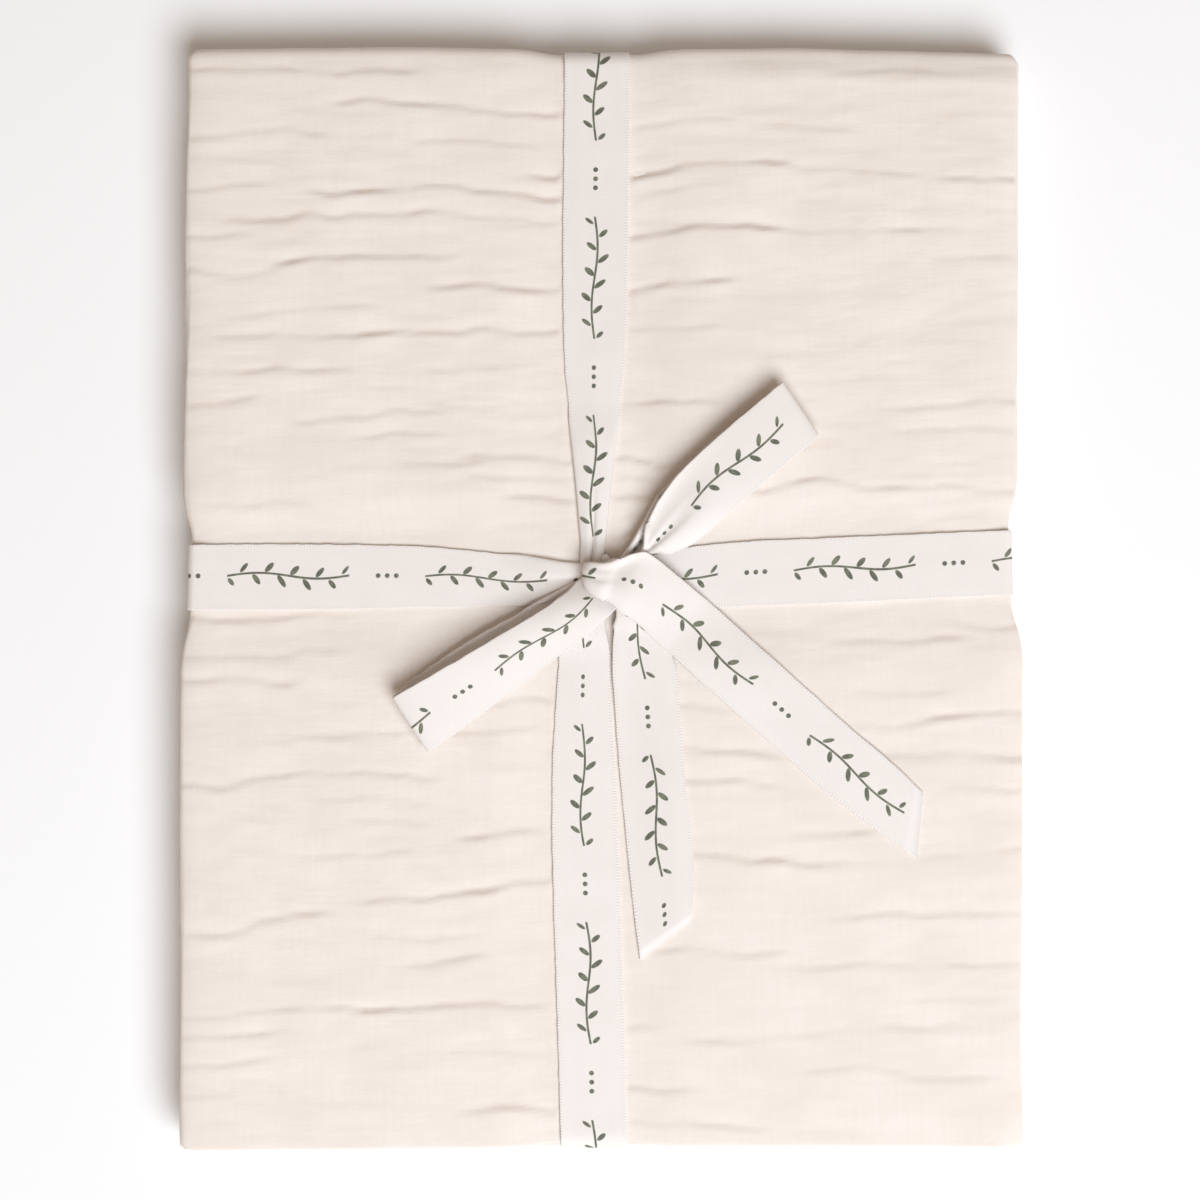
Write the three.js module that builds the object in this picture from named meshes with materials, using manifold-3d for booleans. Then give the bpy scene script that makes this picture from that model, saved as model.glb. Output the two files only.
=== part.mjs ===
// A fitted crib sheet of crinkled cotton muslin, folded into a flat stack and tied crosswise with
// one length of cotton tape, whose bow has two loops and two free tails.
// Millimetres, +Z up. X runs across the stack and Y along it. The origin lies on the resting
// surface, under the middle of the stack.

import * as THREE from "three";
import { mergeVertices } from "three/addons/utils/BufferGeometryUtils.js";
import Module from "manifold-3d";

const wasm = await Module();
wasm.setup();

// The stack before the tape is drawn tight: straight, level and evenly thick
const stackWidth = 256;
const stackLength = 336;
const halfWidth = stackWidth / 2;
const halfLength = stackLength / 2;
const leafCount = 5;
const leafThickness = 3;
const leafPitch = 4.2;
const foldOuterRadius = (leafPitch + leafThickness) / 2;
const foldLine = halfLength - foldOuterRadius;
const stackHeight = (leafCount - 1) * leafPitch + leafThickness;

// The tape, and the air between it and the cloth
const tapeWidth = 20;
const tapeThickness = 1;
const clearance = 0.35;
const tapeLift = clearance + tapeThickness / 2;

// How the drawn tape marks the stack: a level bed under it, with soft shoulders at both sides
const bedHalfWidth = 11.5;
const shoulderMiddle = 20;
const shoulderReach = 30;
const bedDepthOnTop = 1;
const tapeFloorGap = 0.2;
const bedDepthBelow = tapeThickness + clearance + tapeFloorGap;
const crossingDepthBelow = tapeThickness + clearance;

// The swell of the four quarters between the tape lines, and slow waves over them
const crown = 0.6;
const waves = { height: 0.3, lengthX: 29, lengthY: 37, shiftX: 1, shiftY: -0.6 };

// Where the edges of the cloth lie away from the tape, seen from above
const leftEdge = [
  { y: -168, x: -130 },
  { y: -30, x: -129.7 },
  { y: 30, x: -128.1 },
  { y: 168, x: -127.4 },
];
const rightEdge = [
  { y: -168, x: 129.6 },
  { y: -30, x: 129.5 },
  { y: 30, x: 127.9 },
  { y: 168, x: 128.4 },
];
const farEdge = [
  { x: -128, y: 169.8 },
  { x: -60, y: 170.5 },
  { x: -3, y: 169.6 },
  { x: 60, y: 170.3 },
  { x: 128, y: 168.4 },
];
const nearEdge = [
  { x: -128, y: -170 },
  { x: 0, y: -169.4 },
  { x: 128, y: -169.3 },
];

// How far the tape draws each edge in, and the lines that its two rounds follow on the stack
const drawnIn = { left: 2.4, right: 2.7, far: 1.6, near: 0.9 };
const lengthwiseLine = [
  { y: -168, x: -2.4 },
  { y: -75, x: -5.0 },
  { y: -51, x: -5.1 },
  { y: -17, x: -4.4 },
  { y: 13, x: -2.5 },
  { y: 77, x: -2.1 },
  { y: 168, x: -1.4 },
];
const crosswiseLine = [
  { x: -128, y: 7.4 },
  { x: -56, y: 7.3 },
  { x: -10, y: 5.7 },
  { x: 30, y: 7.2 },
  { x: 86, y: 10.2 },
  { x: 128, y: 12.0 },
];

// How far each leaf, from the lowest up, has slipped sideways, and how round the corners lie
const leafSlip = [-0.5, 0.5, -0.2, 0.3, 0];
const cornerRadius = 2.6;

// The main creases across the top leaf, each a soft trough from one end to the other
const creaseHalfWidth = 4.2;
const creaseFade = 14;
const creases = [
  { fromX: 9, fromY: 129, toX: 55, toY: 134.5, depth: 1.1 },
  { fromX: 50, fromY: 134.5, toX: 124, toY: 129, depth: 0.8 },
  { fromX: 9, fromY: 111, toX: 46, toY: 115, depth: 0.9 },
  { fromX: 86, fromY: 114, toX: 126, toY: 113, depth: 0.6 },
  { fromX: 9, fromY: 95, toX: 38, toY: 98, depth: 0.7 },
  { fromX: -78, fromY: 154, toX: -11, toY: 149, depth: 0.7 },
  { fromX: -122, fromY: 141, toX: -55, toY: 145, depth: 0.7 },
  { fromX: -112, fromY: 124, toX: -11, toY: 123, depth: 0.9 },
  { fromX: -124, fromY: 101, toX: -46, toY: 106, depth: 0.8 },
  { fromX: -126, fromY: 85, toX: -12, toY: 86, depth: 0.8 },
  { fromX: -124, fromY: 70, toX: -50, toY: 71, depth: 0.7 },
  { fromX: -117, fromY: 53, toX: -30, toY: 52, depth: 0.8 },
  { fromX: 6, fromY: 59, toX: 36, toY: 59, depth: 0.7 },
  { fromX: 66, fromY: 61, toX: 126, toY: 61, depth: 0.6 },
  { fromX: 52, fromY: 35, toX: 126, toY: 37, depth: 0.8 },
  { fromX: -126, fromY: -60, toX: -90, toY: -55, depth: 0.6 },
  { fromX: -62, fromY: -92, toX: -9, toY: -86, depth: 0.6 },
  { fromX: -126, fromY: -129, toX: -9, toY: -127, depth: 0.8 },
  { fromX: 27, fromY: -80, toX: 60, toY: -81, depth: 0.6 },
  { fromX: 15, fromY: -110, toX: 50, toY: -109, depth: 0.6 },
  { fromX: 67, fromY: -98, toX: 124, toY: -98, depth: 0.6 },
  { fromX: 90, fromY: -48, toX: 126, toY: -49, depth: 0.6 },
];

// Eases from one row of a table to the next
function follow(table, key, value, at) {
  const last = table.length - 1;
  if (at <= table[0][key]) {
    return table[0][value];
  }
  if (at >= table[last][key]) {
    return table[last][value];
  }
  const next = table.findIndex((row) => row[key] > at);
  const before = table[next - 1];
  const share = (at - before[key]) / (table[next][key] - before[key]);
  return THREE.MathUtils.lerp(before[value], table[next][value], share);
}

// One on the bed of a tape line, nothing past its shoulders
function hold(distance) {
  return 1 - THREE.MathUtils.smoothstep(Math.abs(distance), bedHalfWidth, shoulderReach);
}

function undersideHeight(x, y) {
  const across = hold(x);
  const along = hold(y);
  return bedDepthBelow * Math.max(across, along) + crossingDepthBelow * across * along;
}

function topHeight(x, y) {
  const across = hold(x);
  const along = hold(y);
  const swell = crown * (1 - across) * (1 - along);
  const waveX = Math.sin(x / waves.lengthX + waves.shiftX);
  const waveY = Math.cos(y / waves.lengthY + waves.shiftY);
  const towardsEdge = (1 - (x / halfWidth) ** 4) * (1 - (y / halfLength) ** 4);
  const raised = (swell + waves.height * waveX * waveY) * Math.max(towardsEdge, 0);
  return stackHeight + raised - bedDepthOnTop * Math.max(across, along);
}

// Carries a point of the straight stack, or of the tape laid straight on it, to its real place
function settle(x, y, z) {
  const centreX = follow(lengthwiseLine, "y", "x", y);
  const centreY = follow(crosswiseLine, "x", "y", x);
  const left = follow(leftEdge, "y", "x", y) + drawnIn.left * hold(y) ** 2;
  const right = follow(rightEdge, "y", "x", y) - drawnIn.right * hold(y) ** 2;
  const near = follow(nearEdge, "x", "y", x) + drawnIn.near * hold(x) ** 2;
  const far = follow(farEdge, "x", "y", x) - drawnIn.far * hold(x) ** 2;
  const shareX = x / halfWidth;
  const shareY = y / halfLength;
  const realX = centreX + shareX * (shareX > 0 ? right - centreX : centreX - left);
  const realY = centreY + shareY * (shareY > 0 ? far - centreY : centreY - near);
  const low = undersideHeight(x, y);
  const high = topHeight(x, y);
  let realZ = low + ((high - low) * z) / stackHeight;
  if (z < 0) {
    realZ = low + z;
  }
  if (z > stackHeight) {
    realZ = high + z - stackHeight;
  }
  return new THREE.Vector3(realX, realY, realZ);
}

// The height of the cloth's top at a real place, found by walking back to the straight stack
const walkSteps = 8;

function clothTopAt(realX, realY) {
  let x = realX;
  let y = realY;
  for (let walk = 0; walk < walkSteps; walk += 1) {
    const here = settle(x, y, stackHeight);
    x += realX - here.x;
    y += realY - here.y;
  }
  return topHeight(x, y);
}

function creaseDepthAt(x, y) {
  let depth = 0;
  for (const crease of creases) {
    const share = THREE.MathUtils.clamp((x - crease.fromX) / (crease.toX - crease.fromX), 0, 1);
    const line = THREE.MathUtils.lerp(crease.fromY, crease.toY, share);
    const past = Math.max(crease.fromX - x, x - crease.toX, 0);
    const fade = 1 - THREE.MathUtils.smoothstep(past, 0, creaseFade);
    const trough = crease.depth * fade * Math.exp(-(((y - line) / creaseHalfWidth) ** 2));
    depth = Math.max(depth, trough);
  }
  return depth;
}

// Folded sheet: one sheet bent back and forth into five leaves, each of four plies of muslin

function mirrored(places) {
  return [...places].reverse().map((place) => -place).concat(places.slice(1));
}

const cornerStart = 120;
const lengthPlaces = mirrored([0, bedHalfWidth, shoulderMiddle, shoulderReach, 55, 90, 128, foldLine]);
const widthPlaces = mirrored([
  0, bedHalfWidth, shoulderMiddle, shoulderReach, 60, 95, cornerStart, halfWidth - 1, halfWidth,
]);
const topRowSpacing = 7.8;
const foldSegments = 6;

// The top leaf has closer rows, for its creases
function topLeafPlaces() {
  const rows = Math.round((foldLine - shoulderReach) / topRowSpacing);
  const places = [0, bedHalfWidth, shoulderMiddle];
  for (let row = 0; row <= rows; row += 1) {
    places.push(THREE.MathUtils.lerp(shoulderReach, foldLine, row / rows));
  }
  return mirrored(places);
}

// How much of its thickness the sheet keeps at its two free ends and its two sides
const freeEnd = [
  { past: leafThickness / 2, share: 0.25 },
  { past: leafThickness / 3, share: 0.75 },
];
const sideShares = [0.25, 0.75];

// The middle line of the sheet from its lower free end to its upper one. Each row has the way
// out of the sheet, how near it comes to the stack's end and how far its leaf has slipped.
function foldedLine() {
  const line = [];
  for (let leaf = 0; leaf < leafCount; leaf += 1) {
    const towards = leaf % 2 === 0 ? -1 : 1;
    const z = leaf * leafPitch + leafThickness / 2;
    const slip = leafSlip[leaf];
    const last = leaf === leafCount - 1;
    const flat = (y, share, nearness) => {
      line.push({ y: towards * y, z, outY: 0, outZ: -towards, share, nearness, slip, last });
    };
    if (leaf === 0) {
      freeEnd.forEach(({ past, share }) => flat(-foldLine - past, share, past / leafThickness));
    }
    const places = last ? topLeafPlaces() : lengthPlaces;
    places.forEach((place) => flat(place, 1, 0));
    if (last) {
      [...freeEnd].reverse().forEach(({ past, share }) => {
        flat(foldLine + past, share, past / leafThickness);
      });
      return line;
    }
    for (let segment = 1; segment < foldSegments; segment += 1) {
      const angle = (segment / foldSegments - 0.5) * Math.PI;
      line.push({
        y: towards * (foldLine + (leafPitch / 2) * Math.cos(angle)),
        z: z + (leafPitch / 2) * (1 + Math.sin(angle)),
        outY: Math.cos(angle),
        outZ: towards * Math.sin(angle),
        share: 1,
        nearness: Math.cos(angle),
        slip: THREE.MathUtils.lerp(slip, leafSlip[leaf + 1], segment / foldSegments),
        last: false,
      });
    }
  }
  return line;
}

function foldedSheet() {
  const line = foldedLine();
  const rows = line.length - 1;
  const columns = widthPlaces.length - 1;
  const form = new THREE.BoxGeometry(1, 1, 1, columns, 1, rows);
  const points = form.attributes.position;
  for (let index = 0; index < points.count; index += 1) {
    const row = line[Math.round((points.getZ(index) + 0.5) * rows)];
    const column = Math.round((points.getX(index) + 0.5) * columns);
    const fromSide = Math.min(column, columns - column);
    const share = Math.min(row.share, sideShares[fromSide] ?? 1);
    const through = points.getY(index) * leafThickness * share;
    const across = widthPlaces[column];
    const sideways = Math.max(Math.abs(across) - cornerStart, 0) / (halfWidth - cornerStart);
    const cornerIn = cornerRadius * (1 - Math.sqrt(1 - row.nearness ** 2)) * sideways;
    const place = settle(
      across - Math.sign(across) * cornerIn,
      row.y + row.outY * through,
      row.z + row.outZ * through,
    );
    place.x += row.slip * sideways * (1 - hold(row.y));
    if (row.last && through > 0) {
      place.z -= creaseDepthAt(place.x, place.y) * share;
    }
    points.setXYZ(index, place.x, place.y, place.z);
  }
  return form;
}

// Tape: strips that together make one length, joined by the knot

const evenColumns = 2;
const drapedColumns = 4;
const rowsBetween = 3;
const knot = { x: 4.5, y: 6.3, z: 23.2, halfX: 9.4, halfY: 8.2, halfZ: 3.8, segments: 16, rings: 10 };
const knotFromLine = 7;
const sharpestMitre = 0.7;

function unit(from, to) {
  return to.clone().sub(from).normalize();
}

// A flat body whose rows and columns are carried to the places that placeAt gives
function tapeStrip(rows, columns, placeAt) {
  const form = new THREE.BoxGeometry(1, 1, 1, columns, 1, rows);
  const points = form.attributes.position;
  for (let index = 0; index < points.count; index += 1) {
    const column = Math.round((points.getX(index) + 0.5) * columns);
    const row = Math.round((points.getZ(index) + 0.5) * rows);
    const here = placeAt(row, column / columns);
    const before = row > 0 ? unit(placeAt(row - 1, column / columns), here) : null;
    const after = row < rows ? unit(here, placeAt(row + 1, column / columns)) : null;
    const along = (before ?? after).clone().add(after ?? before).normalize();
    const leftwards = placeAt(row, Math.max(column - 1, 0) / columns);
    const rightwards = placeAt(row, Math.min(column + 1, columns) / columns);
    const outward = along.clone().cross(unit(leftwards, rightwards)).normalize();
    const mitre = Math.max(along.dot(after ?? before), sharpestMitre);
    here.addScaledVector(outward, (points.getY(index) * tapeThickness) / mitre);
    points.setXYZ(index, here.x, here.y, here.z);
  }
  return form;
}

// Where a round of tape starts and ends inside the knot, and how it climbs into it
const intoKnot = [
  { fromMiddle: 4, rise: 2.6 },
  { fromMiddle: 8, rise: 0.9 },
  { fromMiddle: 12, rise: 0 },
];
const cornerSteps = 4;

// The rows of one round: over the top, down one side, underneath and up the other side
function roundRows(knotPlace, places, halfSpan, inset, lowering) {
  const corner = halfSpan - inset;
  const radius = inset + tapeLift;
  const flats = places.filter((place) => Math.abs(place) < corner - 1);
  const rightFlats = flats.filter((place) => place > shoulderMiddle);
  const rows = [];
  const over = (u, rise) => rows.push({ u, z: stackHeight + tapeLift + rise });
  const under = (u) => rows.push({ u, z: -tapeLift - lowering * hold(u) });
  const turn = (side, middle, from) => {
    for (let step = 0; step <= cornerSteps; step += 1) {
      const angle = from - (step / cornerSteps) * (Math.PI / 2);
      rows.push({ u: side * corner + radius * Math.cos(angle), z: middle + radius * Math.sin(angle) });
    }
  };
  intoKnot.forEach(({ fromMiddle, rise }) => over(knotPlace + fromMiddle, rise));
  rightFlats.forEach((place) => over(place, 0));
  turn(1, stackHeight - inset, Math.PI / 2);
  turn(1, inset, 0);
  [...flats].reverse().forEach((place) => under(place));
  turn(-1, inset, -Math.PI / 2);
  turn(-1, stackHeight - inset, -Math.PI);
  [...rightFlats].reverse().forEach((place) => over(-place, 0));
  [...intoKnot].reverse().forEach(({ fromMiddle, rise }) => over(knotPlace - fromMiddle, rise));
  return rows;
}

// Half widths where the tape is gathered towards the knot
const lengthwiseHalf = [
  { u: -60, half: 10.2 },
  { u: -45, half: 9.6 },
  { u: -24, half: 7.4 },
  { u: -8, half: 6 },
  { u: 8, half: 3.4 },
  { u: 30, half: 5.2 },
  { u: 48, half: 8 },
  { u: 75, half: 9.4 },
  { u: 105, half: 10 },
];
const crosswiseHalf = [
  { u: -90, half: 10 },
  { u: -52, half: 9.3 },
  { u: -20, half: 7 },
  { u: -6, half: 5.5 },
  { u: 15, half: 6 },
  { u: 28, half: 9 },
  { u: 50, half: 10 },
];

function lengthwiseRound() {
  const rows = roundRows(0, lengthPlaces, halfLength, foldOuterRadius, 0);
  return tapeStrip(rows.length - 1, evenColumns, (row, across) => {
    const { u, z } = rows[row];
    const half = z > 0 ? follow(lengthwiseHalf, "u", "half", u) : tapeWidth / 2;
    return settle((across - 0.5) * 2 * half, u, z);
  });
}

function crosswiseRound() {
  const rows = roundRows(knotFromLine, widthPlaces, halfWidth, leafThickness / 2, crossingDepthBelow);
  return tapeStrip(rows.length - 1, evenColumns, (row, across) => {
    const { u, z } = rows[row];
    const half = z > 0 ? follow(crosswiseHalf, "u", "half", u) : tapeWidth / 2;
    return settle(u, (0.5 - across) * 2 * half, z);
  });
}

// Loops: out from the knot on top, round the far end and back underneath
const farLoop = [
  { leftX: 10, leftY: 12.5, rightX: 14.5, rightY: 9.5, z: 23.6 },
  { leftX: 13.6, leftY: 18.5, rightX: 24, rightY: 14.2, z: 25.2 },
  { leftX: 20.5, leftY: 33, rightX: 36, rightY: 24.5, z: 26.8 },
  { leftX: 38, leftY: 51.5, rightX: 51.5, rightY: 37.5, z: 27.2 },
  { leftX: 54, leftY: 65.2, rightX: 65.6, rightY: 49.6, z: 26.6 },
  { leftX: 55.4, leftY: 66.6, rightX: 67, rightY: 51, z: 25.2 },
  { leftX: 53.6, leftY: 65, rightX: 65.2, rightY: 49.4, z: 23.8 },
  { leftX: 36.5, leftY: 51.5, rightX: 50.5, rightY: 36.8, z: 23.4 },
  { leftX: 18, leftY: 33.4, rightX: 33.5, rightY: 23.5, z: 22.9 },
  { leftX: 8.6, leftY: 14.8, rightX: 18.5, rightY: 10.5, z: 22 },
];
const nearLoop = [
  { leftX: -1, leftY: 5, rightX: 4, rightY: 0, z: 23.3 },
  { leftX: -10.5, leftY: 1.2, rightX: -2.5, rightY: -8.5, z: 25 },
  { leftX: -24, leftY: -6.8, rightX: -15.5, rightY: -19.4, z: 26.6 },
  { leftX: -44, leftY: -18.6, rightX: -34, rightY: -33, z: 26.8 },
  { leftX: -62.2, leftY: -29.3, rightX: -52, rightY: -46.2, z: 26.3 },
  { leftX: -63.8, leftY: -30.3, rightX: -53.6, rightY: -47.4, z: 24.9 },
  { leftX: -62.2, leftY: -28.6, rightX: -52.2, rightY: -45.8, z: 23.5 },
  { leftX: -45, leftY: -17, rightX: -36, rightY: -33, z: 23.3 },
  { leftX: -27.5, leftY: -4.8, rightX: -19.5, rightY: -20.5, z: 23 },
  { leftX: -11, leftY: 3, rightX: -5, rightY: -8, z: 22.2 },
  { leftX: -1, leftY: 6, rightX: 4, rightY: 0, z: 21.8 },
];

// Tails: from over the knot down to the cloth, with lift the height above it
const overTail = [
  { leftX: -4.6, leftY: 9, rightX: -4.2, rightY: 5, lift: 2.8 },
  { leftX: 3.5, leftY: 11.5, rightX: 3, rightY: 0.5, lift: 7.3 },
  { leftX: 12.5, leftY: 14, rightX: 6.5, rightY: -4, lift: 7.5 },
  { leftX: 20.5, leftY: 11.5, rightX: 11.5, rightY: -9.5, lift: 5.1 },
  { leftX: 36.6, leftY: -2.9, rightX: 24, rightY: -19, lift: 1.8 },
  { leftX: 60.6, leftY: -24.8, rightX: 47.2, rightY: -39.7, lift: 0.2 },
  { leftX: 80.5, leftY: -42.2, rightX: 66.2, rightY: -57, lift: 0.2 },
  { leftX: 99.4, leftY: -58.8, rightX: 96.9, rightY: -80.5, lift: 0.2 },
];
const underTail = [
  { leftX: 13, leftY: 2, rightX: 2, rightY: 2, lift: 3.3 },
  { leftX: 19.5, leftY: -13, rightX: 3.1, rightY: -12.5, lift: 1.6 },
  { leftX: 23.9, leftY: -26, rightX: 4.7, rightY: -27, lift: 0.5 },
  { leftX: 26.2, leftY: -56, rightX: 6.2, rightY: -56, lift: 0.2 },
  { leftX: 29, leftY: -80, rightX: 8.2, rightY: -84, lift: 0.2 },
  { leftX: 29.8, leftY: -97.4, rightX: 10.2, rightY: -112.6, lift: 0.2 },
];

function edgeCurve(table, side, height) {
  const places = table.map((row) => new THREE.Vector3(row[`${side}X`], row[`${side}Y`], row[height]));
  return new THREE.CatmullRomCurve3(places);
}

function loop(table) {
  const left = edgeCurve(table, "left", "z");
  const right = edgeCurve(table, "right", "z");
  const rows = (table.length - 1) * rowsBetween;
  return tapeStrip(rows, evenColumns, (row, across) => {
    return left.getPoint(row / rows).lerp(right.getPoint(row / rows), across);
  });
}

function tail(table) {
  const left = edgeCurve(table, "left", "lift");
  const right = edgeCurve(table, "right", "lift");
  const rows = (table.length - 1) * rowsBetween;
  return tapeStrip(rows, drapedColumns, (row, across) => {
    const place = left.getPoint(row / rows).lerp(right.getPoint(row / rows), across);
    place.z += clothTopAt(place.x, place.y) + tapeLift;
    return place;
  });
}

function knotForm() {
  const form = new THREE.SphereGeometry(1, knot.segments, knot.rings);
  form.scale(knot.halfX, knot.halfY, knot.halfZ);
  form.translate(knot.x, knot.y, knot.z);
  return form;
}

const mergeDistance = 0.0001;

function asSolid(form) {
  form.deleteAttribute("normal");
  form.deleteAttribute("uv");
  const merged = mergeVertices(form, mergeDistance);
  return new wasm.Manifold(new wasm.Mesh({
    numProp: 3,
    vertProperties: new Float32Array(merged.attributes.position.array),
    triVerts: new Uint32Array(merged.index.array),
  }));
}

function asGeometry(solid) {
  const mesh = solid.getMesh();
  const geometry = new THREE.BufferGeometry();
  geometry.setAttribute("position", new THREE.BufferAttribute(mesh.vertProperties, 3));
  geometry.setIndex(new THREE.BufferAttribute(mesh.triVerts, 1));
  return geometry;
}

function tapeTie() {
  const strips = [
    lengthwiseRound(),
    crosswiseRound(),
    knotForm(),
    loop(farLoop),
    loop(nearLoop),
    tail(underTail),
    tail(overTail),
  ];
  const joined = strips.map(asSolid).reduce((whole, strip) => whole.add(strip));
  return asGeometry(joined);
}

const muslin = new THREE.MeshStandardMaterial({ color: 0xf0e5da, roughness: 0.95, metalness: 0 });
const cottonTape = new THREE.MeshStandardMaterial({ color: 0xf3efe9, roughness: 0.85, metalness: 0 });

const sheetMesh = new THREE.Mesh(foldedSheet(), muslin);
sheetMesh.name = "folded_sheet";
const tapeMesh = new THREE.Mesh(tapeTie(), cottonTape);
tapeMesh.name = "tape_tie";

const tiedSheet = new THREE.Group();
tiedSheet.add(sheetMesh, tapeMesh);

export default tiedSheet;
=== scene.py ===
import math
import bpy
import numpy as np
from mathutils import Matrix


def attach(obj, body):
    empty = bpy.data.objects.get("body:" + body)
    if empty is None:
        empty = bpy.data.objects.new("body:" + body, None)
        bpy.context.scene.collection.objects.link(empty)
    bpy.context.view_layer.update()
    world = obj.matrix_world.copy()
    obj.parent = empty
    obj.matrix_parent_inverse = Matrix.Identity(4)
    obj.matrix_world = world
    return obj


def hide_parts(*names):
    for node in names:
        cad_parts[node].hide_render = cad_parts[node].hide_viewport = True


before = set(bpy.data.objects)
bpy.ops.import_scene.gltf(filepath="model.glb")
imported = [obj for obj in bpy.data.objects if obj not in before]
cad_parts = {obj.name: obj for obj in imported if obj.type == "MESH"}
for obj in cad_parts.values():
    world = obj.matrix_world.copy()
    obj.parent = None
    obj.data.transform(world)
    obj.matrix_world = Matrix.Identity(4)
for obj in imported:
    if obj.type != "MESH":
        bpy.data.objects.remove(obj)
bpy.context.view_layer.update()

# The folded sheet
# One piece of double muslin, two thin layers of cotton woven together and washed until they crinkle.
# Its long edges are folded in to the middle, then it is folded in half, and the band of four plies
# is folded back and forth into five leaves. Only the tape holds it.

# Sizes are in millimetres. X runs across the stack and Y along it, as in the solids.
mm = 0.001
stack_width = 256
stack_length = 336
half_width = stack_width / 2
half_length = stack_length / 2
stack_height = 19.8
leaf_count = 5
ply_pitch = 0.9
ply_thickness = 0.62
lowest_leaf = 1.5 * ply_pitch + ply_thickness / 2 + 0.04
leaf_pitch = (stack_height - 2 * lowest_leaf) / (leaf_count - 1)
fold_line = 164.4

# How the drawn tape marks the stack: a level bed under it, with soft shoulders at both sides
bed_half_width = 11.5
shoulder_reach = 30
bed_depth_on_top = 1
bed_depth_below = 1.55
crossing_depth_below = 1.35
crown = 0.6
waves = {"height": 0.3, "length_x": 29, "length_y": 37, "shift_x": 1, "shift_y": -0.6}
drawn_in = {"left": 2.4, "right": 2.7, "far": 1.6, "near": 0.9}
leaf_slip = [-0.5, 0.5, -0.2, 0.3, 0]
corner_radius = 2.6
corner_start = 120


def columns(names, rows):
    """A short table whose columns are called by name."""
    return dict(zip(names.split(), np.array(rows, float).T))


# Where the cloth's edges lie away from the tape, and the lines that the tape's two rounds follow
left_edge = columns("y x", [(-168, -130.0), (-30, -129.7), (30, -128.1), (168, -127.4)])
right_edge = columns("y x", [(-168, 129.6), (-30, 129.5), (30, 127.9), (168, 128.4)])
far_edge = columns("x y", [(-128, 169.8), (-60, 170.5), (-3, 169.6), (60, 170.3), (128, 168.4)])
near_edge = columns("x y", [(-128, -170.0), (0, -169.4), (128, -169.3)])
lengthwise_line = columns(
    "y x",
    [(-168, -2.4), (-75, -5.0), (-51, -5.1), (-17, -4.4), (13, -2.5), (77, -2.1), (168, -1.4)],
)
crosswise_line = columns(
    "x y",
    [(-128, 7.4), (-56, 7.3), (-10, 5.7), (30, 7.2), (86, 10.2), (128, 12.0)],
)


def follow(table, key, value, at):
    return np.interp(at, table[key], table[value])


def ease(share):
    """From 0 to 1 with a soft start and end."""
    share = np.clip(share, 0, 1)
    return share * share * (3 - 2 * share)


def hold(distance):
    """One on the bed of a tape line, nothing past its shoulders."""
    return 1 - ease((np.abs(distance) - bed_half_width) / (shoulder_reach - bed_half_width))


def underside_height(x, y):
    across, along = hold(x), hold(y)
    return bed_depth_below * np.maximum(across, along) + crossing_depth_below * across * along


def top_height(x, y):
    across, along = hold(x), hold(y)
    swell = crown * (1 - across) * (1 - along)
    wave_x = np.sin(x / waves["length_x"] + waves["shift_x"])
    wave_y = np.cos(y / waves["length_y"] + waves["shift_y"])
    towards_edge = (1 - (x / half_width) ** 4) * (1 - (y / half_length) ** 4)
    raised = (swell + waves["height"] * wave_x * wave_y) * np.maximum(towards_edge, 0)
    return stack_height + raised - bed_depth_on_top * np.maximum(across, along)


def settle(x, y, z):
    """Carries points of the straight stack, or of tape laid on it, to their real places."""
    centre_x = follow(lengthwise_line, "y", "x", y)
    centre_y = follow(crosswise_line, "x", "y", x)
    left = follow(left_edge, "y", "x", y) + drawn_in["left"] * hold(y) ** 2
    right = follow(right_edge, "y", "x", y) - drawn_in["right"] * hold(y) ** 2
    near = follow(near_edge, "x", "y", x) + drawn_in["near"] * hold(x) ** 2
    far = follow(far_edge, "x", "y", x) - drawn_in["far"] * hold(x) ** 2
    real_x = centre_x + x / half_width * np.where(x > 0, right - centre_x, centre_x - left)
    real_y = centre_y + y / half_length * np.where(y > 0, far - centre_y, centre_y - near)
    low, high = underside_height(x, y), top_height(x, y)
    inside = low + (high - low) * z / stack_height
    above = high + z - stack_height
    real_z = np.where(z < 0, low + z, np.where(z > stack_height, above, inside))
    return np.stack(np.broadcast_arrays(real_x, real_y, real_z), axis=-1)


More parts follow.
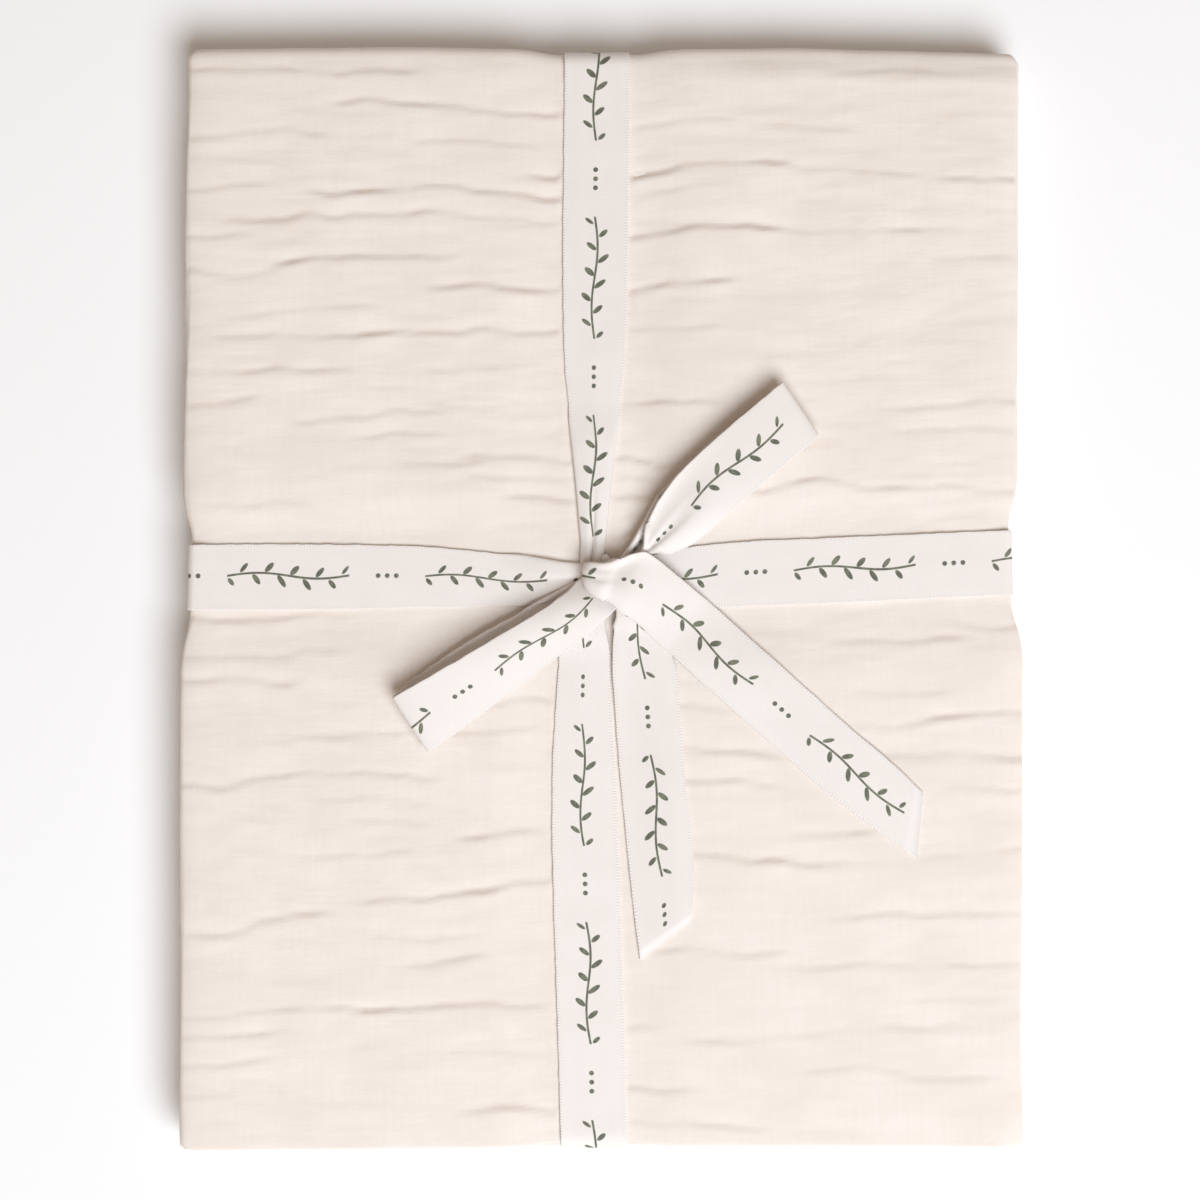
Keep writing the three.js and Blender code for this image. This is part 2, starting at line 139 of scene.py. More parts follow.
# The creases of the top leaf, each through three places. Each is a soft ridge on the near side
# that drops into a narrow trough on the far side, and a deep one has a wide swell round it.
crease_fade = 8
crease_reach = 15
ridge_height, ridge_drop, ridge_width = 0.27, 0.6, 3.2
trough_depth, trough_place, trough_width = 0.2, 0.8, 1
swell_height, swell_drop, swell_width = 0.31, 2.5, 7.5
# Where the shade painted into each crease's trough lies, and how wide it is
painted_shade_place, painted_shade_width = 0.3, 0.8
creases = columns("x1 y1 x2 y2 x3 y3 depth", [
    (-123, 162.0, -85, 162.2, -60, 162.5, 0.55),
    (-78, 153.3, -58, 152.8, -12, 148.9, 0.6),
    (-123, 141.0, -96, 144.1, -87, 142.4, 0.45),
    (-54, 141.0, -38, 141.5, -24, 140.0, 0.45),
    (-127, 125.7, -113, 127.8, -106, 128.2, 0.5),
    (-85, 124.4, -50, 126.5, -12, 123.3, 0.75),
    (-111, 117.1, -83, 117.6, -54, 118.3, 0.7),
    (-54, 118.3, -36, 117.0, -17, 116.2, 0.3),
    (-127, 111.2, -120, 111.6, -113, 113.0, 0.45),
    (-127, 100.2, -107, 99.5, -95, 104.0, 0.4),
    (-96, 103.5, -84, 105.3, -48, 105.3, 0.7),
    (-49, 96.6, -33, 95.8, -12, 94.6, 0.75),
    (-112, 87.0, -91, 89.3, -73, 90.7, 0.3),
    (-117, 81.3, -84, 80.8, -70, 82.2, 0.5),
    (-70, 82.2, -46, 82.4, -12, 81.9, 0.55),
    (-106, 70.1, -92, 70.6, -80, 70.6, 0.5),
    (-50, 70.1, -33, 71.1, -23, 72.2, 0.4),
    (-126, 58.9, -116, 60.4, -109, 62.0, 0.5),
    (-91, 54.8, -76, 56.0, -53, 57.4, 0.5),
    (-50, 59.9, -42, 58.9, -35, 59.4, 0.3),
    (-69, 49.7, -60, 49.9, -52, 50.4, 0.55),
    (-57, 40.5, -48, 40.7, -38, 41.5, 0.55),
    (-37, 43.6, -20, 43.4, -9, 42.4, 0.8),
    (-38, 37.0, -30, 36.7, -9, 37.2, 0.55),
    (-24, 31.3, -13, 31.1, -8, 30.8, 0.85),
    (-115, 28.5, -110, 28.8, -96, 29.3, 0.4),
    (-18, 130.8, -15, 129.8, -12, 130.8, 0.9),
    (9, 129.8, 26, 133.3, 51, 134.3, 1.0),
    (51, 134.3, 76, 131.9, 93, 129.5, 0.55),
    (107, 129.0, 115, 129.5, 126, 128.2, 0.7),
    (10, 145.1, 21, 146.9, 37, 147.9, 0.4),
    (18, 125.5, 28, 126.5, 39, 128.2, 0.4),
    (9, 111.5, 26, 113.8, 50, 114.5, 0.85),
    (50, 114.5, 68, 113.0, 96, 112.5, 0.3),
    (96, 112.8, 102, 113.3, 108, 113.7, 0.4),
    (107, 105.0, 116, 105.3, 122, 105.0, 0.4),
    (9, 95.0, 19, 96.8, 36, 97.5, 0.65),
    (9, 83.0, 19, 82.8, 32, 83.2, 0.4),
    (7, 59.0, 17, 60.2, 32, 60.0, 0.6),
    (91, 58.0, 102, 58.8, 125, 61.2, 0.5),
    (95, 51.2, 102, 51.8, 121, 52.2, 0.35),
    (50, 32.5, 66, 36.0, 94, 34.5, 0.7),
    (94, 34.5, 106, 34.0, 126, 33.5, 0.55),
    (54, 145.1, 62, 145.8, 74, 145.1, 0.35),
    (78, 162.3, 92, 162.1, 99, 161.9, 0.35),
    (5, 43.0, 12, 41.8, 19, 40.8, 0.85),
    (4, 30.6, 8, 30.0, 15, 30.6, 0.85),
    (6, 36.6, 11, 36.0, 17, 36.4, 0.4),
    (3, 18.4, 6, 18.0, 10, 19.0, 0.9),
    (1, 23.4, 6, 23.6, 9, 24.2, 0.4),
    (-126, -7.2, -108, -6.6, -81, -4.3, 0.6),
    (-127, -19.0, -110, -18.3, -85, -16.3, 0.45),
    (-125, -26.1, -113, -24.8, -99, -25.5, 0.6),
    (-31, -32.5, -25, -30.9, -15, -32.3, 0.55),
    (-43, -41.4, -37, -40.6, -26, -40.3, 0.55),
    (-127, -59.0, -116, -58.4, -98, -54.1, 0.6),
    (-98, -54.1, -78, -54.1, -54, -54.7, 0.4),
    (-97, -43.3, -73, -43.1, -63, -41.2, 0.4),
    (-82, -61.9, -69, -61.7, -58, -62.2, 0.35),
    (-72, -68.9, -65, -69.0, -58, -68.7, 0.4),
    (-39, -73.5, -35, -72.7, -24, -71.6, 0.7),
    (-82, -79.8, -67, -79.5, -61, -77.9, 0.45),
    (-69, -93.5, -52, -91.4, -35, -89.7, 0.6),
    (-35, -89.7, -26, -87.8, -15, -86.0, 0.55),
    (-99, -97.8, -95, -97.3, -88, -97.5, 0.6),
    (-123, -103.8, -109, -102.1, -105, -98.6, 0.45),
    (-55, -112.6, -50, -112.2, -41, -110.8, 0.6),
    (-126, -129.1, -104, -126.6, -69, -126.2, 0.45),
    (-69, -126.2, -52, -125.7, -22, -125.9, 0.7),
    (-127, -135.1, -113, -133.8, -100, -133.4, 0.5),
    (-127, -143.7, -118, -143.2, -105, -141.3, 0.35),
    (-128, -153.2, -123, -152.9, -118, -152.3, 0.45),
    (-37, -158.3, -30, -156.9, -13, -157.5, 0.65),
    (-43, -140.5, -35, -140.3, -26, -140.2, 0.3),
    (-66, -104.6, -54, -104.6, -43, -104.6, 0.3),
    (76, -14.2, 88, -13.1, 108, -12.2, 0.5),
    (114, -8.2, 120, -9.0, 127, -8.2, 0.5),
    (83, -29.8, 92, -28.4, 103, -28.8, 0.45),
    (81, -40.1, 98, -37.7, 106, -36.3, 0.4),
    (106, -36.3, 118, -35.2, 128, -35.8, 0.5),
    (90, -48.2, 108, -47.6, 128, -48.7, 0.55),
    (110, -58.4, 118, -58.2, 128, -57.9, 0.45),
    (25, -33.6, 32, -33.4, 38, -33.8, 0.4),
    (26, -46.0, 42, -47.1, 57, -49.3, 0.5),
    (27, -55.7, 37, -55.7, 50, -57.9, 0.55),
    (65, -72.7, 74, -72.7, 81, -71.2, 0.5),
    (29, -78.7, 43, -80.9, 52, -81.1, 0.75),
    (52, -81.1, 63, -82.7, 71, -81.1, 0.6),
    (99, -80.0, 115, -79.5, 128, -77.0, 0.35),
    (75, -97.8, 90, -97.6, 126, -97.8, 0.45),
    (20, -108.6, 36, -108.6, 52, -109.7, 0.5),
    (61, -114.0, 75, -113.5, 92, -112.4, 0.35),
    (108, -113.7, 116, -113.3, 125, -113.5, 0.45),
    (99, -123.0, 110, -124.3, 119, -124.1, 0.35),
    (7, -132.7, 9, -132.7, 12, -132.7, 0.7),
    (89, -131.3, 103, -131.8, 110, -131.6, 0.35),
    (33, -136.7, 49, -135.9, 66, -134.2, 0.35),
    (67, -145.3, 81, -144.8, 88, -145.3, 0.35),
    (97, -146.9, 108, -147.5, 116, -147.5, 0.35),
    (8, -151.8, 15, -151.6, 23, -152.1, 0.55),
    (12, -162.1, 27, -162.1, 47, -163.1, 0.35),
])


def soft_noise(x, y, seed):
    """Smooth random waves from -1 to 1, the same ones each time."""
    grid = 96
    levels = np.random.default_rng(seed).uniform(-1, 1, (grid, grid))
    column, row = np.floor(x).astype(int), np.floor(y).astype(int)
    across, along = ease(x - column), ease(y - row)

    def level(right, up):
        return levels[(row + up) % grid, (column + right) % grid]

    lower = level(0, 0) + (level(1, 0) - level(0, 0)) * across
    upper = level(0, 1) + (level(1, 1) - level(0, 1)) * across
    return lower + (upper - lower) * along


def creasing(x, y):
    """How high the placed creases stand on the top leaf, and the shade painted into their troughs."""
    height, painted_shade = np.zeros(len(x)), np.zeros(len(x))
    wander = 1.2 * soft_noise(x / 9, y / 30, seed=11) + 0.5 * soft_noise(x / 3, y / 20, seed=12)
    uneven = 1 + 0.5 * soft_noise(x / 8, y / 9, seed=13) + 0.4 * soft_noise(x / 3, y / 6, seed=14)
    nearest, farthest = y.min() - crease_reach, y.max() + crease_reach
    for x1, y1, x2, y2, x3, y3, deep in zip(*creases.values()):
        if max(y1, y2, y3) < nearest or min(y1, y2, y3) > farthest:
            continue
        past = np.maximum(np.maximum(x1 - x, x - x3), 0)
        here = deep * uneven * (1 - ease(past / crease_fade))
        off = y - np.interp(x, [x1, x2, x3], [y1, y2, y3]) - wander
        ridge = -np.tanh(off / ridge_drop) * np.exp(-((off / ridge_width) ** 2))
        trough = np.exp(-(((off - trough_place) / trough_width) ** 2))
        swell = -np.tanh(off / swell_drop) * np.exp(-((off / swell_width) ** 2))
        height += here * (ridge_height * ridge - trough_depth * trough + swell_height * deep * swell)
        # Painted shade: the cloth's colour is darkened along each crease's trough
        painted_shade += here * np.exp(-(((off - painted_shade_place) / painted_shade_width) ** 2))
    return height, painted_shade


def steepened(x, y, length, width, seed, lean):
    """Waves that lean towards the far edge."""
    upright = soft_noise(x / length, y / width, seed)
    return soft_noise(x / length, (y - lean * upright) / width, seed)


def crinkling(x, y):
    """The crinkle between the creases: wandering lines, wrinkles, soft swells, and shade painted along
    the lines.
    """
    drifted = y + 5 * soft_noise(x / 60, y / 45, seed=1)
    bands = steepened(x, drifted, length=22, width=5, seed=2, lean=1.2)
    lines = np.exp(-((bands / 0.13) ** 2)) * ease(1.6 * soft_noise(x / 13, y / 9, seed=3))
    long_ones = steepened(x, drifted, length=26, width=4.4, seed=4, lean=1.3)
    short_ones = steepened(x, drifted, length=7, width=2.2, seed=5, lean=0.8)
    broad = soft_noise(x / 30, y / 24, seed=10)
    swells = soft_noise(x / 34, drifted / 9, seed=15)
    strength = 0.84 + 0.14 * np.tanh(y / 60)
    height = 0.13 * long_ones + 0.07 * short_ones - 0.15 * lines + 0.1 * broad + 0.14 * swells
    # The second value is shade painted along the wandering lines
    return height * strength, 0.3 * lines * strength


# Half the width of the cloth that each round of tape presses flat, less where the tape is gathered
pressed_lengthwise = columns("y half", [(-60, 10), (-20, 9), (0, 5), (30, 5.2), (72, 10)])
pressed_crosswise = columns("x half", [(-52, 10), (-20, 7.7), (0, 5.5), (15, 6.3), (28, 10)])
pressed_shoulder = 1.8


def bare(x, y):
    """One on open cloth, nothing where the tape presses on it."""
    lengthwise = follow(pressed_lengthwise, "y", "half", y)
    crosswise = follow(pressed_crosswise, "x", "half", x)
    beside_x = ease((np.abs(x) - lengthwise) / pressed_shoulder)
    beside_y = ease((np.abs(y) - crosswise) / pressed_shoulder)
    return beside_x * beside_y


def relief(x, y, real_x, real_y):
    """How high the top leaf stands out at its places, and the shade painted there."""
    crease_height, painted_crease_shade = creasing(real_x, real_y)
    crinkle_height, painted_crinkle_shade = crinkling(real_x, real_y)
    open_cloth = bare(x, y)
    height = (crease_height + crinkle_height) * open_cloth
    return height, np.clip((painted_crease_shade + painted_crinkle_shade) * open_cloth, 0, 1)


def mirrored(places):
    return [-place for place in places[:0:-1]] + list(places)


# The band of four plies seen from its end: each column is a place on the ply, x and its height w
# in the band, with the way out of the cloth's right side and the share of its full thickness
side_turn = half_width - ply_thickness / 2
left_centre = -side_turn + 1.5 * ply_pitch
right_centre = side_turn - 0.5 * ply_pitch
turn_steps = 6

# How close the columns and rows of points lie. They are closest on the top leaf, where some more
# follow the edges of the tape, and far apart inside the folds and on the cloth's wrong side.
top_columns, top_rows = 2.7, 0.9
under_columns, under_rows = 4, 4
leaf_columns, inner_columns = 32, 64
back_top_columns, back_under_columns = 16, 24
tape_edge_columns = (9.9, 10.9, 11.9)
kept_for_tape_edge = (9.2, 12.8)

# A free edge thins out in two steps
edge_width = 0.25
edge_share, beside_edge_share = 0.3, 0.8


def turn(centre_x, centre_w, radius, start):
    """Half a turn of a ply round its fold, without its two ends."""
    steps = [start + math.pi * step / turn_steps for step in range(1, turn_steps)]
    return [
        (
            centre_x + radius * math.cos(angle),
            centre_w + radius * math.sin(angle),
            math.cos(angle),
            math.sin(angle),
            1,
        )
        for angle in steps
    ]


def flat_ply(w, out, start, end, spacing, free_start=False, free_end=False):
    """A flat stretch of a ply, thinned where it ends in a free edge."""
    steps = max(2, round(abs(end - start) / spacing))
    way = math.copysign(1, end - start)
    places = np.linspace(start, end, steps + 1)
    if spacing == top_columns:
        beside_tape = [side * place for side in (-1, 1) for place in tape_edge_columns]
        inner, outer = kept_for_tape_edge
        open_places = [x for x in places if not inner < abs(x) < outer]
        places = sorted([*open_places, *beside_tape], key=lambda x: way * x)
    flat = [(x, w, 0, out, 1) for x in places]
    beside_edge = way * edge_width
    if free_start:
        flat[:1] = [(start, w, 0, out, edge_share), (start + beside_edge, w, 0, out, beside_edge_share)]
    if free_end:
        flat[-1:] = [(end - beside_edge, w, 0, out, beside_edge_share), (end, w, 0, out, edge_share)]
    return flat


def band_section(on_top, underneath, inside=inner_columns):
    """The band's four plies, one after the other, with their columns as far apart as given."""
    inner, outer = 0.5 * ply_pitch, 1.5 * ply_pitch
    upper_start, lower_end = left_centre + 1.5, left_centre + 0.8
    section = [
        *flat_ply(inner, -1, upper_start, right_centre, inside, free_start=True),
        *turn(right_centre, ply_pitch, inner, -math.pi / 2),
        *flat_ply(outer, 1, right_centre, left_centre, on_top),
        *turn(left_centre, 0, outer, math.pi / 2),
        *flat_ply(-outer, -1, left_centre, right_centre, underneath),
        *turn(right_centre, -ply_pitch, inner, -math.pi / 2),
        *flat_ply(-inner, 1, right_centre, lower_end, inside, free_end=True),
    ]
    table = columns("x w out_x out_w share", section)
    steps = np.hypot(np.diff(table["x"]), np.diff(table["w"]))
    table["across"] = np.concatenate([[0], np.cumsum(steps)])
    return table


hidden_section = band_section(leaf_columns, leaf_columns)
top_section = band_section(top_columns, inner_columns)
under_section = band_section(leaf_columns, under_columns)
back_section = band_section(back_top_columns, back_under_columns)

# The band's middle line from its lower free end to its upper one, a row at a time. A loose end
# has three rows more past the fold line, and gets thinner and rounder there.
hidden_places = [
    0, bed_half_width, 15, 19, 23, shoulder_reach, 38, 48, 62, 80, 98, 116, 134, 150, 159, fold_line
]
fold_steps = 8
loose_end = [
    (2.2, {"share": 1, "end": 0.6, "nearness": 0.3}),
    (2.8, {"share": 0.8, "end": 0.9, "nearness": 0.75}),
    (3.2, {"share": 0.3, "end": 1, "nearness": 0.95}),
]


def loose_rows(flat, way):
    """The rows of a loose end, from the fold line outwards."""
    return [{**flat, "y": way * (fold_line + past), **ending} for past, ending in loose_end]


def band_rows():
    """All rows of the band, with the middle line, the section and the shares that each one has."""
    rows = []
    for leaf in range(leaf_count):
        towards = -1 if leaf % 2 == 0 else 1
        height = lowest_leaf + leaf * leaf_pitch
        first, last = leaf == 0, leaf == leaf_count - 1
        section = top_section if last else under_section if first else hidden_section
        if first or last:
            spacing = top_rows if last else under_rows
            places = np.linspace(-fold_line, fold_line, round(2 * fold_line / spacing) + 1)
        else:
            places = mirrored(hidden_places)
        flat = {"z": height, "out_y": 0, "out_z": -towards, "section": section, "slip": leaf_slip[leaf]}
        flat.update(share=1, nearness=0, top=float(last), under=float(first), end=0)
        if first:
            rows += loose_rows(flat, -towards)[::-1]
        rows += [{**flat, "y": towards * place} for place in places]
        if last:
            rows += loose_rows(flat, towards)
            return rows
        before_last = leaf == leaf_count - 2
        for step in range(1, fold_steps):
            part = step / fold_steps
            angle = (part - 0.5) * math.pi
            rows.append({
                "y": towards * (fold_line + leaf_pitch / 2 * math.cos(angle)),
                "z": height + leaf_pitch / 2 * (1 + math.sin(angle)),
                "out_y": math.cos(angle),
                "out_z": towards * math.sin(angle),
                "section": top_section if before_last else under_section,
                "slip": leaf_slip[leaf] + (leaf_slip[leaf + 1] - leaf_slip[leaf]) * part,
                "share": 1,
                "nearness": math.cos(angle),
                "top": part if before_last else 0,
                "under": 1 - part if first else 0,
                "end": 0,
            })


# How the top leaf rolls down towards its sides, its ends and, most of all, its far right end
side_roll = {"from": corner_start - 2, "over": 10, "drop": 0.9, "bend": 2.4}
end_roll = {"from": 154, "over": 14, "drop": 0.5, "bend": 2}
far_right_roll = {"from": 157, "over": 10, "across": 50, "drop": 1.5}
hidden_gap = 0.05
places_beside = (-9, -4, 4, 9)
least_height = 0.03


def rolled_down(x, y):
    past_side = np.clip((np.abs(x) - side_roll["from"]) / side_roll["over"], 0, 1)
    past_end = ease((np.abs(y) - end_roll["from"]) / end_roll["over"])
    drop = side_roll["drop"] * past_side ** side_roll["bend"]
    drop = drop + end_roll["drop"] * past_end ** end_roll["bend"]
    far_right = ease(x / far_right_roll["across"])
    past_far = ease((y - far_right_roll["from"]) / far_right_roll["over"])
    return drop + far_right_roll["drop"] * far_right * past_far


def cloth_row(row, section, side):
    """The points of one row on the cloth's right side (+1) or wrong side (-1), and the shade painted on
    them.
    """
    depth = side * ply_thickness / 2 * np.minimum(row["share"], section["share"])
    fine = 0.07 * soft_noise(section["across"] / 9, row["along"] / 3, seed=6)
    x = section["x"] + section["out_x"] * (depth + fine)
    w = section["w"] + section["out_w"] * (depth + fine)
    short = row["end"] * (0.4 - 0.4 * np.sin(3 * section["w"] + x / 45))
    y = row["y"] + row["out_y"] * w - math.copysign(1, row["y"]) * short
    z = row["z"] + row["out_z"] * w
    sideways = np.maximum(np.abs(x) - corner_start, 0) / (half_width - corner_start)
    corner_in = corner_radius * (1 - math.sqrt(1 - row["nearness"] ** 2)) * sideways
    uneven = 0.7 * soft_noise(row["along"] / 37 + section["w"] * 0.6, np.sign(x) + 5, seed=7)
    place = settle(x - np.sign(x) * corner_in, y, z)
    place[:, 0] += (row["slip"] + uneven) * sideways * (1 - hold(row["y"]))
    real_x, real_y = place[:, 0], place[:, 1]
    if row["top"] > 0:
        height, painted_shade = relief(x, y, real_x, real_y)
        hidden = (section["w"] < ply_pitch) | (side < 0)
        lowest = np.minimum.reduce([relief(x, y, real_x + away, real_y)[0] for away in places_beside])
        height = np.where(hidden, np.minimum(np.minimum(height, lowest), 0) - hidden_gap, height)
        place[:, 2] += height * row["top"] * np.where(section["w"] < 0, 0.5, 1)
        # Painted shade only where the top leaf shows
        painted_shade = painted_shade * row["top"] * ~hidden
        place[:, 2] -= rolled_down(x, y) * row["top"] * np.clip(0.5 + 0.35 * section["w"], 0, 1)
    else:
        painted_shade = np.zeros(len(real_x))
    long_waves = soft_noise(real_x / 34, real_y / 5, seed=8)
    short_waves = soft_noise(real_x / 12, real_y / 3, seed=9)
    below = 0.25 + 0.2 * long_waves + 0.1 * short_waves
    place[:, 2] += np.maximum(below, 0) * row["under"] * np.clip(0.5 - 0.35 * section["w"], 0, 1)
    place[:, 2] = np.maximum(place[:, 2], least_height)
    return place, painted_shade


def stitched(first, second):
    """Faces between two rows of points, which needn't be equally close."""
    faces = []
    i, j = 0, 0
    while i + 1 < len(first) or j + 1 < len(second):
        next_first = first[i + 1][0] if i + 1 < len(first) else math.inf
        next_second = second[j + 1][0] if j + 1 < len(second) else math.inf
        if abs(next_first - next_second) < 1e-6:
            faces.append((first[i][1], first[i + 1][1], second[j + 1][1], second[j][1]))
            i, j = i + 1, j + 1
        elif next_first < next_second:
            faces.append((first[i][1], first[i + 1][1], second[j][1]))
            i += 1
        else:
            faces.append((first[i][1], second[j + 1][1], second[j][1]))
            j += 1
    return faces


def turned(faces):
    return [face[::-1] for face in faces]


def make_mesh(name, points, faces, uvs, uv_name):
    """A smooth mesh in metres from points in millimetres, with a place on the flat cloth for each."""
    mesh = bpy.data.meshes.new(name)
    mesh.from_pydata((np.array(points) * mm).tolist(), [], faces)
    corners = np.zeros(len(mesh.loops), int)
    mesh.loops.foreach_get("vertex_index", corners)
    layer = mesh.uv_layers.new(name=uv_name)
    layer.data.foreach_set("uv", (np.array(uvs)[corners] * mm).ravel())
    mesh.polygons.foreach_set("use_smooth", np.ones(len(mesh.polygons), bool))
    mesh.update()
    piece = bpy.data.objects.new(name, mesh)
    bpy.context.scene.collection.objects.link(piece)
    return piece


def folded_cloth():
    """The whole cloth as one closed mesh, and its size when laid flat."""
    rows = band_rows()
    middle = np.array([(row["y"], row["z"]) for row in rows])
    along = np.concatenate([[0], np.cumsum(np.hypot(*np.diff(middle, axis=0).T))])
    points, uvs, painted_trough_shade, faces = [], [], [], []
    sides = {1: [], -1: []}
    for side in sides:
        for row, distance in zip(rows, along):
            row["along"] = distance
            section = row["section"] if side > 0 else back_section
            place, trough = cloth_row(row, section, side)
            start = len(points)
            points.extend(place)
            painted_trough_shade.extend(trough)
            uvs.extend((across, distance) for across in section["across"])
            sides[side].append([(across, start + k) for k, across in enumerate(section["across"])])
    right, wrong = sides[1], sides[-1]
    for k in range(len(rows) - 1):
        faces += stitched(right[k], right[k + 1])
        faces += turned(stitched(wrong[k], wrong[k + 1]))
        faces.append((right[k][0][1], right[k + 1][0][1], wrong[k + 1][0][1], wrong[k][0][1]))
        faces.append((right[k + 1][-1][1], right[k][-1][1], wrong[k][-1][1], wrong[k + 1][-1][1]))
    faces += stitched(wrong[0], right[0])
    faces += stitched(right[-1], wrong[-1])
    cloth = make_mesh("crib_sheet", points, faces, uvs, "cloth")
    # The trough attribute carries the painted shade of creases and crinkle lines to the muslin
    layer = cloth.data.attributes.new("trough", "FLOAT", "POINT")
    layer.data.foreach_set("value", np.array(painted_trough_shade))
    return cloth, (back_section["across"][-1], along[-1])


crib_sheet, cut_size = folded_cloth()


class Shade:
    """A value in a finish. Sums with it add Math nodes."""

    def __init__(self, finish, socket):
        self.finish = finish
        self.socket = socket

    def sum(self, operation, *values):
        return self.finish.node("Math", {"operation": operation}, dict(enumerate(values)))

    def __add__(self, other):
        return self.sum("ADD", self, other)

    def __sub__(self, other):
        return self.sum("SUBTRACT", self, other)

    def __rsub__(self, other):
        return self.sum("SUBTRACT", other, self)

    def __mul__(self, other):
        return self.sum("MULTIPLY", self, other)

    def __truediv__(self, other):
        return self.sum("DIVIDE", self, other)

    def __pow__(self, other):
        return self.sum("POWER", self, other)

    def __abs__(self):
        return self.sum("ABSOLUTE", self)

    def wave(self):
        return self.sum("SINE", self)

    def cut(self, low, high):
        """How far the value has come from low to high, from 0 to 1."""
        ends = {"Value": self, "From Min": low, "From Max": high}
        return self.finish.node("MapRange", {"interpolation_type": "SMOOTHSTEP"}, ends)

    __radd__ = __add__
    __rmul__ = __mul__


class Finish:
    """A procedural material for one kind of cloth."""

    def __init__(self, name):
        self.material = bpy.data.materials.new(name)
        self.material.use_nodes = True
        self.tree = self.material.node_tree
        self.shader = self.tree.nodes["Principled BSDF"]

    def node(self, kind, settings, inputs, output=0):
        made = self.tree.nodes.new("ShaderNode" + kind)
        for name, value in settings.items():
            setattr(made, name, value)
        for name, value in inputs.items():
            self.join(made.inputs[name], value)
        return Shade(self, made.outputs[output])

    def join(self, socket, value):
        if isinstance(value, Shade):
            self.tree.links.new(value.socket, socket)
        else:
            socket.default_value = value

    def blend(self, share, first, second):
        """A colour that goes from the first to the second as the share goes from 0 to 1."""
        return self.node("Mix", {"data_type": "RGBA"}, {0: share, 6: first, 7: second}, 2)

    def flat_place(self, layer):
        """The place on the flat cloth, in millimetres: across and along."""
        place = self.node("UVMap", {"uv_map": layer}, {})
        parts = self.node("SeparateXYZ", {}, {0: place})
        x = Shade(self, parts.socket.node.outputs[0]) / mm
        y = Shade(self, parts.socket.node.outputs[1]) / mm
        return x, y

    def noise(self, x, y, detail=2):
        spot = self.node("CombineXYZ", {}, {0: x, 1: y})
        settings = {"noise_dimensions": "2D"}
        return self.node("TexNoise", settings, {"Vector": spot, "Scale": 1, "Detail": detail}, 0)

    def finish(self, looks):
        for name, value in looks.items():
            self.join(self.shader.inputs[name], value)


warp_pitch = 0.62
weft_pitch = 0.66


def muslin():
    """Matt crinkled double muslin, pale beige, with darker, pinker shade painted into its troughs."""
    cloth = Finish("muslin")
    across, along = cloth.flat_place("cloth")
    trough = cloth.node("Attribute", {"attribute_name": "trough"}, {}, 2)
    clouds = cloth.noise(across / 26, along / 20, 3)
    slubs = cloth.noise(across / 1.5, along / 16)
    cross_slubs = cloth.noise(across / 22, along / 1.1)
    base = cloth.blend(clouds.cut(0.3, 0.7), (0.86, 0.78, 0.715, 1), (0.89, 0.815, 0.755, 1))
    thick_threads = (slubs * 0.65 + cross_slubs * 0.35).cut(0.4, 0.68)
    threads = cloth.blend(thick_threads * 0.16, base, (0.8, 0.715, 0.635, 1))
    # Painted shade: the colour goes up to halfway to a warm brown where the trough attribute is full
    colour = cloth.blend(trough * 0.5, threads, (0.72, 0.6, 0.52, 1))
    warp = (across * (2 * math.pi / warp_pitch)).wave()
    weft = (along * (2 * math.pi / weft_pitch)).wave()
    puckers = cloth.noise(across / 5.5, along / 1.7, 3)
    thin_lines = abs(cloth.noise(across / 7, along / 1.9 + 40, 1) - 0.5).cut(0, 0.07)
    threads_height = warp * weft * 0.05 + slubs * 0.12 + cross_slubs * 0.1
    height = threads_height + puckers * 0.22 + thin_lines * 0.07
    bump = cloth.node("Bump", {}, {"Strength": 0.5, "Distance": 0.0005, "Height": height})
    cloth.finish({"Base Color": colour, "Roughness": 0.92 + puckers * 0.06, "Normal": bump})
    cloth.finish({"Specular IOR Level": 0.2, "Sheen Weight": 0.15, "Sheen Roughness": 0.5})
    return cloth.material


crib_sheet.data.materials.append(muslin())
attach(crib_sheet, "root")
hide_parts("folded_sheet")
cut_size[0] * mm
cut_size[1] * mm

# The tape
# 20 mm cotton twill tape with a small olive green print. It lies once round the stack lengthwise
# and once crosswise, drawn tight, and is tied over the crossing in a bow: two loops, two cut tails.

tape_half = 10
tape_thickness = 0.65
tape_lift = 0.5
lift_below = 0.8
roll_radius = 0.42
crease_width = 0.65
gather_from = 8.2
gather_full = 6.8


def smooth_curve(rows, places_between):
    """Points on a smooth curve through all rows of a table (Catmull-Rom)."""
    rows = np.array(rows, float)
    padded = np.vstack([2 * rows[0] - rows[1], rows, 2 * rows[-1] - rows[-2]])
    curve = []
    for before, here, after, next_one in zip(padded, padded[1:], padded[2:], padded[3:]):
        for step in range(places_between):
            t = step / places_between
            bend = 2 * before - 5 * here + 4 * after - next_one
            swing = 3 * (here - after) + next_one - before
            curve.append(here + t * ((after - before) / 2 + t * (bend / 2 + t * swing / 2)))
    return np.array(curve + [rows[-1]])


